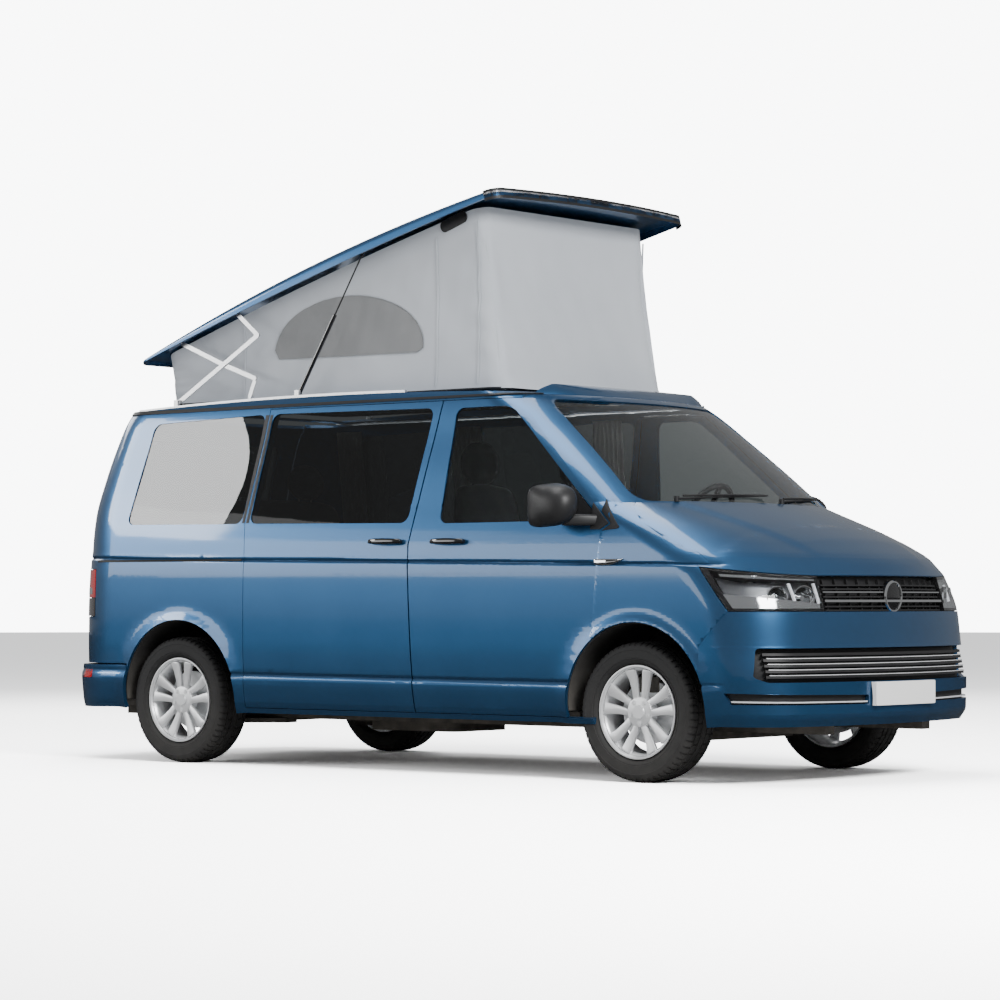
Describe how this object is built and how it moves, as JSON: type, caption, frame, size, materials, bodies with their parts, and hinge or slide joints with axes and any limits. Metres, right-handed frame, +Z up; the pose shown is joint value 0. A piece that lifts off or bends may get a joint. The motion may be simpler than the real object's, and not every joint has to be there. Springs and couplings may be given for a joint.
{
  "type": "camper van",
  "caption": "Mid-size camper van on steel body with sliding side door, opening doors, bonnet and tailgate, and a rear-hinged pop-up roof with canvas walls.",
  "frame": {"origin": "on the ground at mid-length and mid-width, under the body", "axes": "+X forward, +Y to the vehicle's left, +Z up"},
  "size_m": [4.9118, 2.3058, 2.9016],
  "materials": {
    "paint": "metallic blue paint",
    "roof_paint": "painted roof shell",
    "black_plastic": "textured black",
    "glass": "tinted",
    "lamp": "clear lens over chrome housing",
    "red_lamp": "red lens",
    "underbody": "black coated steel",
    "cast": "cast",
    "alloy": "silver paint",
    "rail": "anodised",
    "tyre": "rubber",
    "canvas": "light grey canvas",
    "seat": "dark cloth over foam",
    "cabinet": "light laminate",
    "plate": "white plate",
    "steel": "dark steel"
  },
  "bodies": {
    "body": {"body_side_left": "paint", "body_side_right": "paint", "bulkhead": "underbody", "canvas": "canvas", "dashboard": "black_plastic", "engine_block": "cast", "exhaust": "steel", "floor_pan": "underbody", "front_bumper": "paint", "front_seats": "seat", "front_subframe": "underbody", "front_wings": "paint", "fuel_tank": "black_plastic", "galley_unit": "cabinet", "headlamps": "lamp", "lower_grille": "black_plastic", "number_plate": "plate", "rear_axle": "underbody", "rear_bench": "seat", "rear_bumper": "paint", "roof_frame": "paint", "roof_rails": "rail", "side_windows": "glass", "sliding_door": "paint", "sliding_door_glass": "glass", "tail_lamps": "red_lamp", "upper_grille": "black_plastic", "wheel_liners": "black_plastic", "windscreen": "glass", "windscreen_frame": "paint"},
    "bonnet": {"bonnet": "paint"},
    "tailgate": {"tailgate": "paint", "tailgate_glass": "glass"},
    "front_door_right": {"door_right": "paint", "door_glass_right": "glass", "mirror_right": "black_plastic"},
    "front_door_left": {"door_left": "paint", "door_glass_left": "glass", "mirror_left": "black_plastic"},
    "pop_up_roof": {"roof_shell": "roof_paint"},
    "scissor_lower": {"scissor_bar_lower": "rail"},
    "scissor_upper": {"scissor_bar_upper": "rail"},
    "link_upper": {"scissor_link_upper": "rail"},
    "link_lower": {"scissor_link_lower": "rail"},
    "struts": {"strut_cylinders": "steel"},
    "strut_pistons": {"strut_rods": "steel"},
    "steering_hub_left": {"knuckle_left": "cast"},
    "steering_hub_right": {"knuckle_right": "cast"},
    "hand_wheel": {"steering_wheel": "black_plastic"},
    "wheel_front_left": {"tyre_front_left": "tyre", "rim_front_left": "alloy"},
    "wheel_front_right": {"tyre_front_right": "tyre", "rim_front_right": "alloy"},
    "wheel_rear_left": {"tyre_rear_left": "tyre", "rim_rear_left": "alloy"},
    "wheel_rear_right": {"tyre_rear_right": "tyre", "rim_rear_right": "alloy"}
  },
  "joints": [
    {"name": "roof_lift", "type": "hinge", "parent": "body", "child": "pop_up_roof", "pos_m": [-2.646, 0, 1.895], "axis": [0, 1, 0], "range_deg": [0, 16.3], "deforming": ["canvas"]},
    {"name": "scissor_lower_pivot", "type": "hinge", "parent": "body", "child": "scissor_lower", "pos_m": [-1.608, 0, 1.908], "axis": [0, 1, 0], "range_deg": [0, 27.6]},
    {"name": "link_lower_pivot", "type": "hinge", "parent": "body", "child": "link_lower", "pos_m": [-1.097, 0, 1.922], "axis": [0, 1, 0], "range_deg": [0, 62]},
    {"name": "scissor_upper_pivot", "type": "hinge", "parent": "pop_up_roof", "child": "scissor_upper", "pos_m": [-1.588, 0, 2.222], "axis": [0, -1, 0], "range_deg": [0, 39.7]},
    {"name": "link_upper_pivot", "type": "hinge", "parent": "pop_up_roof", "child": "link_upper", "pos_m": [-1.17, 0, 2.356], "axis": [0, -1, 0], "range_deg": [0, 59.6]},
    {"name": "strut_pivot", "type": "hinge", "parent": "body", "child": "struts", "pos_m": [-0.733, 0, 1.926], "axis": [0, 1, 0], "range_deg": [0, 57.5]},
    {"name": "strut_travel", "type": "slide", "parent": "struts", "child": "strut_pistons", "axis": [-0.5304, 0, -0.8477], "range_m": [0, 0.282]},
    {"name": "bonnet_hinge", "type": "hinge", "parent": "body", "child": "bonnet", "pos_m": [1.47, 0, 1.318], "axis": [0, -1, 0], "range_deg": [0, 50]},
    {"name": "tailgate_hinge", "type": "hinge", "parent": "body", "child": "tailgate", "pos_m": [-2.116, 0, 1.86], "axis": [0, 1, 0], "range_deg": [0, 85]},
    {"name": "door_right_hinge", "type": "hinge", "parent": "body", "child": "front_door_right", "pos_m": [1.385, -0.945, 0.9], "axis": [0, 0, 1], "range_deg": [0, 62]},
    {"name": "door_left_hinge", "type": "hinge", "parent": "body", "child": "front_door_left", "pos_m": [1.385, 0.945, 0.9], "axis": [0, 0, -1], "range_deg": [0, 62]},
    {"name": "steer_left", "type": "hinge", "parent": "body", "child": "steering_hub_left", "pos_m": [1.544, 0.735, 0.33], "axis": [0, 0, 1], "range_deg": [-33, 33]},
    {"name": "steer_right", "type": "hinge", "parent": "body", "child": "steering_hub_right", "pos_m": [1.544, -0.735, 0.33], "axis": [0, 0, 1], "range_deg": [-33, 33]},
    {"name": "hand_wheel_turn", "type": "hinge", "parent": "body", "child": "hand_wheel", "pos_m": [1.015, 0.4, 1.27], "axis": [-0.8829, 0, 0.4695], "range_deg": [-500, 500]},
    {"name": "wheel_front_left_spin", "type": "hinge", "parent": "steering_hub_left", "child": "wheel_front_left", "pos_m": [1.544, 0.814, 0.33], "axis": [0, 1, 0], "continuous": true},
    {"name": "wheel_front_right_spin", "type": "hinge", "parent": "steering_hub_right", "child": "wheel_front_right", "pos_m": [1.544, -0.814, 0.33], "axis": [0, 1, 0], "continuous": true},
    {"name": "wheel_rear_left_spin", "type": "hinge", "parent": "body", "child": "wheel_rear_left", "pos_m": [-1.456, 0.814, 0.33], "axis": [0, 1, 0], "continuous": true},
    {"name": "wheel_rear_right_spin", "type": "hinge", "parent": "body", "child": "wheel_rear_right", "pos_m": [-1.456, -0.814, 0.33], "axis": [0, 1, 0], "continuous": true}
  ],
  "couplings": [
    {"joint": "scissor_lower_pivot", "follows": "roof_lift", "ratio": 1.681},
    {"joint": "link_lower_pivot", "follows": "roof_lift", "ratio": 3.7914},
    {"joint": "scissor_upper_pivot", "follows": "roof_lift", "ratio": 2.4233},
    {"joint": "link_upper_pivot", "follows": "roof_lift", "ratio": 3.638},
    {"joint": "strut_pivot", "follows": "roof_lift", "ratio": 3.5153},
    {"joint": "strut_travel", "follows": "roof_lift", "m_per_rad": 0.98774},
    {"joint": "steer_right", "follows": "steer_left", "ratio": 1},
    {"joint": "hand_wheel_turn", "follows": "steer_left", "ratio": 15}
  ]
}
